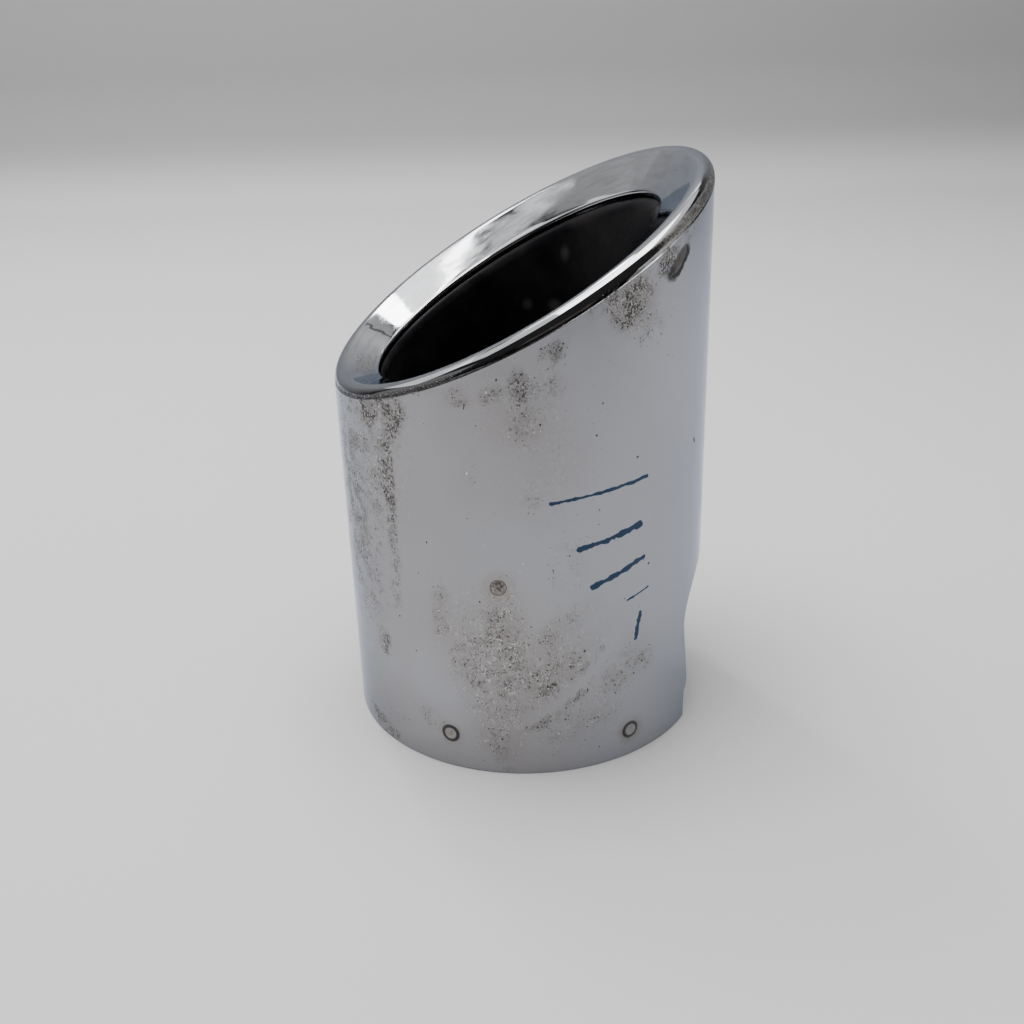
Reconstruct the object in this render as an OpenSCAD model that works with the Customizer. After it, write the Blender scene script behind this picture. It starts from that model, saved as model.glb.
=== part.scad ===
// Slash-cut exhaust tip: a chromed shell with a rolled, funnelled rim, a black inner
// sleeve that takes the tailpipe, and the folded brackets that join the two.
// The origin is the centre of the base, +Z is up and the high side of the slash is at +X.

/* [Shell] */
// Outside diameter of the shell
shell_d = 100; // [94:1:130]
// Thickness of the shell's sheet
shell_t = 1.2; // [0.8:0.1:1.6]
// Height of the rolled rim's centre line on the axis of the tube
rim_h = 123; // [115:1:180]
// Slope of the slash, measured from level
slash_angle = 28.6; // [8:0.2:32]

/* [Rolled rim] */
// Outside radius of the roll
roll_r = 3; // [2.4:0.1:3.6]
// Width of the lip at its two sides, seen from above
lip_w_side = 17.5; // [14:0.5:22]
// Width of the lip at the high and the low end, seen from above
lip_w_end = 12.4; // [11:0.2:20]
// Depth of the lip's inner edge below the roll's centre line
lip_drop = 4; // [3:0.2:7]
// Radius at which the lip turns down at its inner edge
lip_edge_r = 2; // [1.8:0.1:2.6]
// Length of the straight turned-down edge
lip_edge_h = 0.8; // [0.4:0.1:2]

/* [Cut-out in the high side] */
// Width of the cut-out
cut_w = 69.8; // [40:0.2:74]
// Height of the cut-out above the base
cut_h = 45; // [30:1:70]
// Radius of its upper corners
cut_corner_r = 15; // [4:0.5:18]
// How far the uneven edge leans into the cut-out near the base
cut_lean = 2.4; // [0.4:0.2:4]
// Height at which that lean is greatest
cut_lean_z = 12; // [10:0.5:20]
// How far the foot of the edge stands back from the cut's full width
cut_foot_in = 0.9; // [0:0.1:2]

/* [Inner sleeve] */
// Bore of the socket that takes the tailpipe
socket_d = 64; // [54:0.5:66]
// Thickness of the sleeve's sheet
sleeve_t = 1; // [0.8:0.1:1.4]
// Height of the sleeve's lower end above the base
sleeve_z = 6; // [2:1:20]
// Length of the round socket
socket_h = 60; // [50:1:64]
// Gap between the lip's inner edge and the top of the sleeve
sleeve_gap = 0.7; // [0.4:0.1:3]
// Depth of the flared band below the top of the sleeve
flare_h = 3; // [2:0.2:6]
// How far the sleeve's top is flared outwards
flare_w = 1.2; // [0.4:0.1:2]

/* [Lap seam of the sleeve] */
// Angle of the lapped sheet's end, measured from the high side
lap_a = -1.5; // [-20:0.5:20]
// Angle that the lap covers
lap_span = 20; // [12:1:40]
// Length of the clipped corner along the rim, as an angle
lap_clip_a = 8; // [2:0.5:10]

/* [Brackets] */
// Thickness of the bracket strip
strip_t = 1.5; // [1:0.1:2]
// Width of the bracket's outer foot
strip_w = 14; // [8:0.5:20]
// Height of each foot
foot_h = 12; // [9:0.5:16]
// Inside radius of the folds
fold_r = 1.5; // [0.5:0.1:2.5]
// Height of the lower weld marks above the base
lower_weld_z = 9.5; // [8:0.5:20]
// Height of the upper weld mark above the base
upper_weld_z = 56; // [46:0.5:58]
// Angle of the lower marks nearer to the high side
lower_weld_a1 = 71; // [62:0.5:80]
// Angle of the lower marks nearer to the low side
lower_weld_a2 = 128.5; // [122:0.5:150]
// Angle of the upper marks
upper_weld_a = 111.6; // [90:0.2:140]

/* [Hidden] */
$fn = 96;
// Clearance between a bracket's foot and the sheet that it is welded to
seat = 0.05;
// Step at the crease where the roll leaves the wall
crease = 0.05;
// Length of the lip's root inside the wall, and of the sleeve's upper part inside the socket
root = 2;
// Angle between the stations at which the lip and the sleeve are drawn
station = 4;
// Cuts run past the faces that they open by this much
over = 1;
shell_r = shell_d / 2;
slope = tan(slash_angle);
slash_n = [-sin(slash_angle), 0, cos(slash_angle)];
// Radius of the roll's centre line seen from above, and the thickness of the lip's sheet
spine_r = shell_r - crease - roll_r;
lip_t = shell_t - 2 * crease;
// The lip's inner edge, as half widths seen from above
mouth_b = shell_r - lip_w_side;
mouth_a = shell_r - lip_w_end;
socket_r = socket_d / 2;
socket_top = sleeve_z + socket_h;

function unit(v) = v / norm(v);
// A point at the ends' half width a and the sides' half width b, at the angle w, raised along the slash
function on_slash(a, b, w, z) = [a * cos(w), b * sin(w), z + slope * a * cos(w)];
// The direction away from the axis, square to that oval and within the slash plane
function outward(a, b, w) = unit(cross([-a * sin(w), b * cos(w), -slope * a * sin(w)], slash_n));
// A point on a circle around c that starts outwards at 0 degrees and is over the top at 90
function round_to(c, r, e, t) = c + r * (cos(t) * e + sin(t) * slash_n);
function steps(from, to, n) = [for (i = [0:n]) from + (to - from) * i / n];
function reversed(v) = [for (i = [len(v) - 1:-1:0]) v[i]];

// Faces of a closed band of stations, each a closed section of m points
function ring_faces(n, m) = [
    for (i = [0:n - 1], j = [0:m - 1])
        let (k = (i + 1) % n, l = (j + 1) % m)
            each [[i * m + j, i * m + l, k * m + l], [i * m + j, k * m + l, k * m + j]]
];

// One section of the lip: up the outside of the roll, over its crest, down the funnel,
// round the turned-down edge, and back along the underside
function lip_section(w) =
    let (
        c = on_slash(spine_r, spine_r, w, rim_h),
        e = outward(spine_r, spine_r, w),
        edge_a = mouth_a + lip_edge_r,
        edge_b = mouth_b + lip_edge_r,
        m = on_slash(mouth_a, mouth_b, w, rim_h - lip_drop) + lip_edge_h * slash_n,
        f = outward(mouth_a, mouth_b, w),
        d = m + lip_edge_r * f,
        across = (c - d) * e,
        down = (c - d) * slash_n,
        fall = atan2(down, across) + asin((roll_r - lip_edge_r) / norm([across, down])),
        start = -asin(sin(slash_angle) * cos(w)),
        foot_out = [spine_r + roll_r, spine_r + roll_r - lip_t],
        base_z = c.z - root
    )
    concat(
        [[foot_out[0] * cos(w), foot_out[0] * sin(w), base_z]],
        [for (t = steps(start, 90 + fall, 9)) round_to(c, roll_r, e, t)],
        [for (t = steps(90 + fall, 180, 4)) round_to(d, lip_edge_r, f, t)],
        [m - lip_edge_h * slash_n, m + lip_t * f - lip_edge_h * slash_n],
        [for (t = steps(180, 90 + fall, 3)) round_to(d, lip_edge_r - lip_t, f, t)],
        [for (t = steps(90 + fall, start, 7)) round_to(c, roll_r - lip_t, e, t)],
        [[foot_out[1] * cos(w), foot_out[1] * sin(w), base_z]]
    );

module lip() {
    sections = [for (w = [0:station:360 - station]) lip_section(w)];
    polyhedron([for (s = sections) each s], ring_faces(len(sections), len(sections[0])), convexity = 6);
}

// The cut-out's outline: one side plain, the other with the uneven edge
module cut_out() {
    half = cut_w / 2;
    mid = cut_h - cut_corner_r;
    rotate([90, 0, 90])
        linear_extrude(shell_d)
            polygon(concat(
                [[half, -over], [half, mid]],
                [for (t = steps(0, 90, 8)) [half - cut_corner_r, mid] + cut_corner_r * [cos(t), sin(t)]],
                [for (t = steps(90, 180, 8)) [cut_corner_r - half, mid] + cut_corner_r * [cos(t), sin(t)]],
                [
                    [cut_lean - half, cut_lean_z], [cut_lean - half, cut_lean_z - 2],
                    [cut_foot_in - half, cut_lean_z - 4], [cut_foot_in - half, -over]
                ]
            ));
}

module above_slash() {
    translate([0, 0, rim_h])
        rotate([0, -atan(slope * spine_r / shell_r), 0])
            translate([-shell_d, -shell_d, 0]) cube([2 * shell_d, 2 * shell_d, 2 * shell_d]);
}

module outer_shell() {
    color([0.74, 0.75, 0.77])
        difference() {
            union() {
                difference() {
                    cylinder(r = shell_r, h = rim_h + shell_r);
                    translate([0, 0, -over]) cylinder(r = shell_r - shell_t, h = rim_h + shell_d);
                    above_slash();
                }
                lip();
            }
            cut_out();
        }
}

// The sleeve above the socket, as a point on its inner surface or out mm outside it.
// s runs from 0 at the socket's top to 1 at the foot of the flared band.
sleeve_rim_z = rim_h - lip_drop - sleeve_gap;
wall_low = socket_top + 1;
function wall_point(s, w, out) =
    let (
        a = socket_r + (mouth_a - flare_w - socket_r) * s * s + out,
        b = socket_r + (mouth_b - flare_w - socket_r) * s * s + out,
        top = sleeve_rim_z - flare_h + slope * a * cos(w)
    )
    [a * cos(w), b * sin(w), wall_low + (top - wall_low) * s];
// The flared band, from f = 0 at its foot to f = 1 at the rim
function flare_point(f, w, out) =
    let (a = mouth_a + out - flare_w * (1 - f * f), b = mouth_b + out - flare_w * (1 - f * f))
    [a * cos(w), b * sin(w), sleeve_rim_z - flare_h * (1 - f) + slope * a * cos(w)];
function socket_point(w, out) = [(socket_r + out) * cos(w), (socket_r + out) * sin(w), socket_top - root];

// The rolled sheet's inner end lies over the other end: this is its thickness at the angle t
// behind the edge of the lap. The far end of the lap tapers out.
lap_fade = lap_span / 2;
function lap_thickness(t) = t < 0 || t > lap_span ? 0 : sleeve_t * min(1, (lap_span - t) / lap_fade);
// The upper corner of that end is clipped, so its edge slants back across the flared band
function clip_shift(t) = lap_clip_a * max(0, 1 - abs(t) / (2 * lap_clip_a));

function sleeve_section(w) =
    let (
        t = lap_a - w,
        lap = lap_thickness(t),
        levels = steps(0, 1, 5),
        bands = [0.5, 1]
    )
    concat(
        [socket_point(w, sleeve_t - crease)],
        [for (s = levels) wall_point(s, w, sleeve_t - crease)],
        [for (f = bands) flare_point(f, w, sleeve_t)],
        [for (f = [1, 0.5]) flare_point(f, w - f * clip_shift(t), -lap)],
        [for (s = reversed(levels)) wall_point(s, w, crease - (s > 0 ? lap : 0))],
        [socket_point(w, crease)]
    );

module sleeve_upper() {
    edge = 0.15;
    stations = concat(
        [for (w = [lap_a - 360 + station:station:lap_a - station]) w],
        [lap_a, lap_a + edge]
    );
    sections = [for (w = stations) sleeve_section(w)];
    polyhedron([for (s = sections) each s], ring_faces(len(sections), len(sections[0])), convexity = 6);
}

module inner_sleeve() {
    color([0.09, 0.09, 0.1]) {
        difference() {
            translate([0, 0, sleeve_z]) cylinder(r = socket_r + sleeve_t, h = socket_h);
            translate([0, 0, sleeve_z - over]) cylinder(r = socket_r, h = socket_h + 2 * over);
        }
        sleeve_upper();
    }
}

// The bracket's folded strip: the place and heading of points along its middle line
strip_fold = fold_r + strip_t / 2;
foot_out_r = shell_r - shell_t - seat - strip_t / 2;
foot_in_r = socket_r + sleeve_t + seat + strip_t / 2;
strip_path = concat(
    [[[foot_out_r, -foot_h], 90]],
    [for (t = steps(0, 90, 6)) [[foot_out_r - strip_fold, -strip_fold] + strip_fold * [cos(t), sin(t)], 90 + t]],
    [for (t = steps(270, 180, 6)) [[foot_in_r + strip_fold, strip_fold] + strip_fold * [cos(t), sin(t)], t - 90]],
    [[[foot_in_r, foot_h], 90]]
);
function beside(p, d) = p[0] + d * [cos(p[1] + 90), sin(p[1] + 90)];

// The strip turned about the axis, with its web at the height z; up is 1, or -1 for one turned over
module bracket(angle, z, up) {
    width_a = strip_w / shell_r * 180 / PI;
    color([0.5, 0.5, 0.52])
        translate([0, 0, z])
            rotate([0, 0, angle - width_a / 2])
                rotate_extrude(angle = width_a)
                    polygon([
                        for (p = concat(
                            [for (p = strip_path) beside(p, strip_t / 2)],
                            reversed([for (p = strip_path) beside(p, -strip_t / 2)])
                        )) [p.x, up * p.y]
                    ]);
}

module lower_bracket(angle) { bracket(angle, lower_weld_z + foot_h / 2, 1); }
module upper_bracket(angle) { bracket(angle, upper_weld_z - foot_h / 2, -1); }

outer_shell();
inner_sleeve();
lower_bracket(-lower_weld_a1);  // lower_bracket_1
lower_bracket(-lower_weld_a2);  // lower_bracket_2
lower_bracket(lower_weld_a2);  // lower_bracket_3
lower_bracket(lower_weld_a1);  // lower_bracket_4
upper_bracket(-upper_weld_a);  // upper_bracket_1
upper_bracket(upper_weld_a);  // upper_bracket_2
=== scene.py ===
# Looks of the slash-cut exhaust tip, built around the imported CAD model.
# Sizes are in millimetres and turn into metres when a mesh is made. The high side of the slash is at +X,
# and angles go round the tube from there, negative towards the side that the photograph shows.
import math

import bpy
import numpy as np
from mathutils import Matrix, Vector


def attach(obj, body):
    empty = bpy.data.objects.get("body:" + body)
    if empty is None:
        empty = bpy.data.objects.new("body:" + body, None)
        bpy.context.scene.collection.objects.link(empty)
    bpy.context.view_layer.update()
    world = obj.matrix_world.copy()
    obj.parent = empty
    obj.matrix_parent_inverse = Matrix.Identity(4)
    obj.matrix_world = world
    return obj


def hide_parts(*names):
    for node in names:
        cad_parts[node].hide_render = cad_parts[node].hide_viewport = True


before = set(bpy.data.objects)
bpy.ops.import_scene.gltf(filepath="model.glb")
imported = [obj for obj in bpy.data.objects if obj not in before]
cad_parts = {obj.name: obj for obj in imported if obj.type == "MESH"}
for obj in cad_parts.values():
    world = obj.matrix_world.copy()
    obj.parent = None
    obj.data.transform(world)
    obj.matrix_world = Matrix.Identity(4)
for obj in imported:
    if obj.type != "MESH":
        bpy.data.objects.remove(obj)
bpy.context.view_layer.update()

MM = 0.001

# Sizes of the tip, the same as the CAD model's
SHELL_R = 50.0
SHELL_T = 1.2
RIM_H = 123.0
SLASH = math.radians(28.6)
ROLL_R = 3.0
LIP_W_SIDE = 17.5
LIP_W_END = 12.4
LIP_DROP = 4.0
CREASE = 0.05
SOCKET_R = 32.0
SOCKET_TOP = 66.0
SLEEVE_T = 1.0
SLEEVE_Z = 6.0
SLEEVE_GAP = 0.7
FLARE_H = 3.0
FLARE_W = 1.2
LAP_ANGLE = -1.5
LAP_SPAN = 20.0
LAP_CLIP = 8.0

# The lip's turned-down edge, tighter than the CAD model's, as the photograph shows it
LIP_EDGE_R = 1.15
LIP_EDGE_H = 0.5

# Sizes that follow from those above
SPINE_R = SHELL_R - CREASE - ROLL_R
LIP_T = SHELL_T - 2 * CREASE
DEGREE_LENGTH = SHELL_R * math.pi / 180
MOUTH_A = SHELL_R - LIP_W_END
MOUTH_B = SHELL_R - LIP_W_SIDE
SLEEVE_RIM_Z = RIM_H - LIP_DROP - SLEEVE_GAP
SLOPE = math.tan(SLASH)
SLASH_N = np.array([-math.sin(SLASH), 0.0, math.cos(SLASH)])

# Fineness of the skins: stations round the shell, bevels, and the angle from which an edge is sharp
STATIONS = 480
BEVEL = 0.12
BASE_BEVEL_H = 0.14
EDGE_BEVEL_H = 0.1
SLEEVE_BEVEL = 0.1
SLEEVE_STEP = 0.05
SLEEVE_SHOULDER = 0.06
SLEEVE_MID_Z = 30.0
SHARP = 38
SLEEVE_SHARP = 32
ROUND_SHARP = 60

# Places in the shell's section: wall below 0, roll 0 to 1, funnel 1 to 2, its edge 2 to 3, then the rest
AT_BASE, AT_LIP_END, INSIDE = -2.0, 3.2, 4.0

# The wall's last rows below the roll: depth, height over the line where the roll meets the wall, and place
WALL_END = 0.58
CREASE_ROWS = (
    (0.0, -0.38, -0.22), (0.0, -0.28, -0.2), (0.03, -0.17, -0.1), (0.16, -0.07, -0.04), (0.17, 0.04, -0.01),
)
ROLL_START = 0.04

# The cut-out: half width, height of the corners' centres, corner radius, and the uneven edge on one side
CUT_HALF, CUT_MID, CUT_R, CUT_LOW = 34.9, 30.0, 15.0, -3.0
CUT_EDGE = [
    (-34.4, 26.0), (-33.8, 21.5), (-33.0, 16.0), (-32.5, 12.4), (-32.5, 10.2), (-33.1, 9.0), (-33.9, 8.2),
    (-34.0, 4.0), (-34.0, CUT_LOW),
]
CUT_FROM, CUT_TO = 10.0, 90.0

# Weld marks: their angle to either side and their height, and each disc's profile from middle to edge
RING_SPOTS = ((71.0, 8.0), (128.5, 10.4))
NUGGET_SPOT = (111.6, 55.9)
RING_PROFILE = [0.05, 0.05, 0.055, 0.07, 0.10, 0.17, 0.20, 0.15, 0.06, 0.02, 0.0]
NUGGET_PROFILE = [0.42, 0.40, 0.44, 0.36, 0.38, 0.27, 0.24, 0.10, 0.05, 0.02, 0.0]
RING_REACH, RING_RIPPLE = 2.7, 0.25
NUGGET_REACH, NUGGET_RIPPLE = 1.95, 0.8
MARK_SEED, MARK_WAVES, MARK_SPOKES, MARK_WEAR = 7, 6, 48, 0.3

# Pitted regions of the wall: angle, height, half width, half height, lean, soft edge, density
PITTED = [
    (-153, 102, 7.5, 4, 0, 0.5, 1.10),
    (-152.5, 97.2, 3.6, 3.4, 0, 0.5, 1.35),
    (-161, 99, 8, 7, 0, 0.6, 0.66),
    (-142.5, 98, 4.6, 9, 0, 0.5, 0.84),
    (-146.0, 80, 2.6, 18, 0, 0.7, 0.98),
    (-152, 84, 7, 21, 0, 0.7, 0.60),
    (-166, 70, 10, 35, 0, 0.7, 0.68),
    (-158, 54, 8, 24, 0, 0.7, 0.56),
    (-146, 56, 3, 16, 0, 0.6, 0.56),
    (-112, 36, 5.0, 16, 0, 0.5, 0.62),
    (-112, 35, 10, 19, 0, 0.6, 0.52),
    (-100, 28, 13, 6, 38, 0.6, 0.56),
    (-97, 42, 10, 3.5, 38, 0.6, 0.48),
    (-122, 36, 6, 13, 0, 0.6, 0.52),
    (-129, 47, 3.5, 9, 0, 0.6, 0.60),
    (-70.5, 127.0, 5.6, 4.5, 22, 0.4, 0.90),
    (-74, 123.8, 5, 4.8, 22, 0.4, 0.82),
    (-80, 126.0, 6, 2.5, 28, 0.5, 0.62),
    (-66, 118, 6, 5, 0, 0.6, 0.46),
    (-59, 132.5, 6, 3.5, 42, 0.5, 0.85),
    (-48, 140, 8, 5, 30, 0.5, 0.50),
    (-104, 106, 3.2, 7, 0, 0.6, 0.66),
    (-112, 106, 3.5, 3, 0, 0.6, 0.60),
    (-97, 108, 5, 4, 0, 0.6, 0.56),
    (-95, 116, 4, 2.5, 30, 0.6, 0.80),
    (-103, 99, 6, 6, 0, 0.8, 0.42),
    (-121, 105, 4, 3, 0, 0.6, 0.56),
    (-134, 106, 7, 2.2, 10, 0.6, 0.46),
    (-101, 80, 3, 4, 0, 0.6, 0.40),
    (-118, 88, 2, 6, 0, 0.6, 0.36),
    (-92, 62, 6, 12, 0, 0.8, 0.34),
    (-76, 27, 13, 6, 35, 0.7, 0.48),
    (-67, 29, 5, 5, 30, 0.7, 0.50),
    (-88, 16, 14, 8, 20, 0.7, 0.42),
    (-153.8, 32, 3.2, 5, 0, 0.5, 0.80),
    (-158, 3, 9, 3.4, -12, 0.6, 0.85),
    (-150, 10, 6, 5, 0, 0.6, 0.40),
    (-135, 14, 5, 4, 0, 0.6, 0.50),
    (-112, 8, 3.5, 9, 12, 0.6, 0.50),
    (-96, 28, 13, 1.3, 42, 0.5, 0.78),
    (-90, 22, 11, 1.2, 40, 0.5, 0.72),
    (-86, 32, 9, 1.2, 42, 0.5, 0.66),
    (-101, 15, 6, 1.4, 25, 0.5, 0.74),
    (-119, 27, 5, 1.6, -35, 0.5, 0.70),
    (152, 94, 14, 10, 0, 0.7, 0.52),
    (118, 38, 12, 20, 0, 0.8, 0.42),
    (70, 124, 9, 6, -25, 0.8, 0.40),
]
LEAST_WEAR = 0.12

# Frosted regions, where the plating is crazed but still there, in the same terms
FROSTED = [
    (-111, 40, 5.5, 15, 0, 0.6, 1.0),
    (-113, 26, 9, 14, 0, 0.7, 0.85),
    (-118, 38, 9, 14, 0, 0.8, 0.60),
    (-99, 30, 15, 7, 38, 0.7, 0.75),
    (-96, 42, 11, 4, 38, 0.7, 0.60),
    (-112, 11, 6, 6, 0, 0.7, 0.70),
    (-76, 27, 12, 6, 35, 0.8, 0.35),
    (-88, 15, 13, 7, 20, 0.8, 0.40),
    (-128, 44, 5, 9, 0, 0.7, 0.45),
    (-103, 103, 9, 9, 0, 0.8, 0.45),
    (-98, 90, 8, 14, 0, 0.8, 0.28),
    (-72, 125, 6.5, 6, 22, 0.5, 0.95),
    (-154, 90, 13, 26, 0, 0.7, 0.60),
    (-163, 55, 9, 40, 0, 0.7, 0.40),
    (118, 36, 12, 20, 0, 0.8, 0.50),
]
LEAST_FROST = 0.0

# Plain pen strokes on the wall: from angle and height to angle and height, half width
DASHES = [
    (-96.2, 78.3, -66.1, 80.8, 0.55),
    (-88.0, 65.1, -68.4, 68.3, 0.95),
    (-84.1, 54.2, -67.0, 58.7, 0.85),
    (-72.8, 47.8, -64.8, 49.7, 0.45),
    (-69.2, 36.0, -67.8, 43.1, 0.85),
]

# Stains at the weld marks: place, radius of the dark ring outside and inside, radius of the heat tint
WELD_STAINS = ((RING_SPOTS[0], 2.5, 1.7, 3.8), (RING_SPOTS[1], 2.6, 1.7, 3.6), (NUGGET_SPOT, 2.1, 1.75, 4.0))

# The chrome's colours in linear light: the wall's two tones, then each layer's mask, share and colour
WALL_WARM, WALL_COOL = (0.290, 0.285, 0.291), (0.308, 0.318, 0.338)
CHROME_LAYERS = (
    # Painted reflections: the wall made bluer at the right and lighter at its upper right
    ("right", 1.0, (0.322, 0.334, 0.360)),
    ("upper_right_painted_reflection", 1.0, (0.40, 0.41, 0.44)),
    ("lip", 1.0, (0.375, 0.38, 0.395)),
    ("smear", 0.6, (0.27, 0.265, 0.26)),
    ("film", 1.0, (0.225, 0.218, 0.205)),
    ("heat_tint", 0.7, (0.22, 0.19, 0.15)),
    ("frosted", 0.55, (0.210, 0.193, 0.178)),
    # The crazing's painted shade and painted highlight, one on each side of its ridges
    ("crazed_painted_shade", 0.80, (0.105, 0.095, 0.085)),
    ("crazed_painted_highlight", 0.80, (0.52, 0.51, 0.49)),
    ("worn_roll", 0.55, (0.46, 0.45, 0.43)),
    ("blisters", 1.0, (0.60, 0.59, 0.57)),
    ("pits", 0.92, (0.05, 0.041, 0.034)),
    # Painted shade along the crease where the roll meets the wall
    ("crease", 0.88, (0.03, 0.027, 0.027)),
    ("wavy_line", 0.8, (0.05, 0.05, 0.055)),
    ("leaf", 1.0, (0.145, 0.133, 0.127)),
    ("leaf_edge", 1.0, (0.03, 0.03, 0.032)),
    ("weld_rings", 0.95, (0.020, 0.019, 0.020)),
    ("ink", 0.95, (0.0, 0.034, 0.095)),
)
CHROME_GRAZING = (0.74, 0.79, 0.87)

# What roughens the chrome: mask and how much it adds
CHROME_ROUGH = (("smear", 0.05), ("film", 0.35), ("leaf", 0.3), ("worn_roll", 0.22))

# Painted highlights inside the sleeve, as pale soft spots: angle, height, half width, half height
SLEEVE_PAINTED_HIGHLIGHTS = ((52.1, 121.0, 1.6, 1.8), (57.4, 105.8, 2.6, 1.6), (72.0, 106.0, 2.0, 1.4))


# Building meshes from rows of points

def on_slash(a, b, w, z):
    """Points of an oval in the plane of the slash, at the angles w."""
    return np.stack([a * np.cos(w), b * np.sin(w), z + SLOPE * a * np.cos(w)], -1)


def outward(a, b, w):
    """Directions that lie in the plane of the slash and point straight out of that oval."""
    along = np.stack([-a * np.sin(w), b * np.cos(w), -SLOPE * a * np.sin(w)], -1)
    across = np.cross(along, SLASH_N)
    return across / np.linalg.norm(across, axis=-1, keepdims=True)


def round_to(c, r, e, t):
    """Points round the centres c, at the radius r and the angle t from e towards the slash's normal."""
    t = np.broadcast_to(t, c.shape[:1])[:, None]
    return c + r * (np.cos(t) * e + np.sin(t) * SLASH_N)


def on_wall(r, w, z):
    """Points of an upright tube of radius r, at the angles w and the heights z."""
    z = np.broadcast_to(z, w.shape)
    return np.stack([r * np.cos(w), r * np.sin(w), z], -1)


def link(obj):
    bpy.context.scene.collection.objects.link(obj)
    return obj


def smooth(obj, sharp):
    mesh = obj.data
    mesh.polygons.foreach_set("use_smooth", [True] * len(mesh.polygons))
    mesh.set_sharp_from_angle(angle=math.radians(sharp))
    mesh.update()


def mesh_of(name, points, faces, sharp=SHARP):
    mesh = bpy.data.meshes.new(name)
    mesh.from_pydata([tuple(p) for p in np.asarray(points) * MM], [], [tuple(f) for f in faces])
    mesh.validate()
    mesh.update()
    obj = link(bpy.data.objects.new(name, mesh))
    smooth(obj, sharp)
    return obj


def tube_mesh(name, rows, sharp=SHARP):
    """A closed ring of sections: rows[j][i] is point j of the section at station i."""
    rows = np.array(rows)
    m, n = rows.shape[:2]
    i, j = np.meshgrid(np.arange(n), np.arange(m))
    k, l = (i + 1) % n, (j + 1) % m
    faces = np.stack([j * n + i, j * n + k, l * n + k, l * n + i], -1).reshape(-1, 4)
    points = rows.reshape(-1, 3)
    a, b, c, d = (points[faces[:, corner]] for corner in range(4))
    volume = np.einsum("ij,ij->i", a, np.cross(b, c)).sum() + np.einsum("ij,ij->i", a, np.cross(c, d)).sum()
    if volume < 0:
        faces = faces[:, ::-1]
    return mesh_of(name, points, faces, sharp)


def store(obj, name, values):
    attribute = obj.data.attributes.new(name, "FLOAT", "POINT")
    attribute.data.foreach_set("value", np.asarray(values, np.float32))


def evaluated(obj):
    """The object's mesh with its modifiers worked in."""
    bpy.context.view_layer.update()
    return bpy.data.meshes.new_from_object(obj.evaluated_get(bpy.context.evaluated_depsgraph_get()))


# The shell: wall, crease, rolled rim, funnel and turned-down edge in one closed skin

def shell_rows():
    """The shell's rows up the outside, over the rim and down the inside, and each row's place."""
    w = np.radians(np.arange(STATIONS) * 360.0 / STATIONS)
    c = on_slash(SPINE_R, SPINE_R, w, RIM_H)
    e = outward(SPINE_R, SPINE_R, w)
    m = on_slash(MOUTH_A, MOUTH_B, w, RIM_H - LIP_DROP) + LIP_EDGE_H * SLASH_N
    f = outward(MOUTH_A, MOUTH_B, w)
    d = m + LIP_EDGE_R * f
    across, down = np.einsum("ij,ij->i", c - d, e), (c - d) @ SLASH_N
    fall = np.arctan2(down, across) + np.arcsin((ROLL_R - LIP_EDGE_R) / np.hypot(across, down))
    start = -np.arcsin(math.sin(SLASH) * np.cos(w))
    over = math.pi / 2 + fall
    crease_z = round_to(c, ROLL_R, e, start)[:, 2]
    rows, section = [], []

    def add(points, place=INSIDE):
        rows.append(points)
        section.append(place)

    add(on_wall(SHELL_R - BEVEL, w, 0.0), AT_BASE)
    for t in np.linspace(0, 1, 58):
        add(on_wall(SHELL_R, w, BASE_BEVEL_H + (crease_z - WALL_END - BASE_BEVEL_H) * t), -1.0 + 0.75 * t)
    for depth, up, place in CREASE_ROWS:
        add(on_wall(SHELL_R - depth, w, crease_z + up), place)
    for t in np.linspace(0, 1, 27):
        add(round_to(c, ROLL_R, e, start + ROLL_START + (over - start - ROLL_START) * t), t)
    roll_end, edge_start = rows[-1], round_to(d, LIP_EDGE_R, f, over)
    for t in np.linspace(0, 1, 12)[1:-1]:
        add(roll_end + (edge_start - roll_end) * t, 1 + t)
    for t in np.linspace(0, 1, 12):
        add(round_to(d, LIP_EDGE_R, f, over + (math.pi - over) * t), 2 + t)
    foot, bevel_foot = m - LIP_EDGE_H * SLASH_N, m - (LIP_EDGE_H - EDGE_BEVEL_H) * SLASH_N
    add(bevel_foot, AT_LIP_END)
    add(foot + BEVEL * f)
    add(foot + (LIP_T - BEVEL) * f)
    add(bevel_foot + LIP_T * f)
    for t in np.linspace(1, 0, 7):
        add(round_to(d, LIP_EDGE_R - LIP_T, f, over + (math.pi - over) * t))
    for t in np.linspace(1, 0, 12):
        add(round_to(c, ROLL_R - LIP_T, e, start + (over - start) * t))
    inner = SHELL_R - SHELL_T
    for t in np.linspace(1, 0, 10):
        add(on_wall(inner, w, BASE_BEVEL_H + (crease_z - ROLL_R / 2 - BASE_BEVEL_H) * t))
    add(on_wall(inner + BEVEL, w, 0.0))
    return rows, section


def cut_out_prism():
    """The cut-out's outline in the YZ plane, run outwards along +X: one side plain, the other uneven."""
    line = [(CUT_HALF, CUT_LOW), (CUT_HALF, CUT_MID)]
    first, second = np.linspace(0, math.pi / 2, 17)[1:], np.linspace(math.pi / 2, math.pi, 17)
    for centre, turns in ((CUT_HALF - CUT_R, first), (CUT_R - CUT_HALF, second)):
        line += [(centre + CUT_R * math.cos(t), CUT_MID + CUT_R * math.sin(t)) for t in turns]
    line += CUT_EDGE
    n = len(line)
    points = [(x, y, z) for x in (CUT_FROM, CUT_TO) for y, z in line]
    faces = [tuple(range(n))[::-1], tuple(range(n, 2 * n))]
    faces += [(i, (i + 1) % n, n + (i + 1) % n, n + i) for i in range(n)]
    return mesh_of("cut_out_prism", points, faces)


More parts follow.
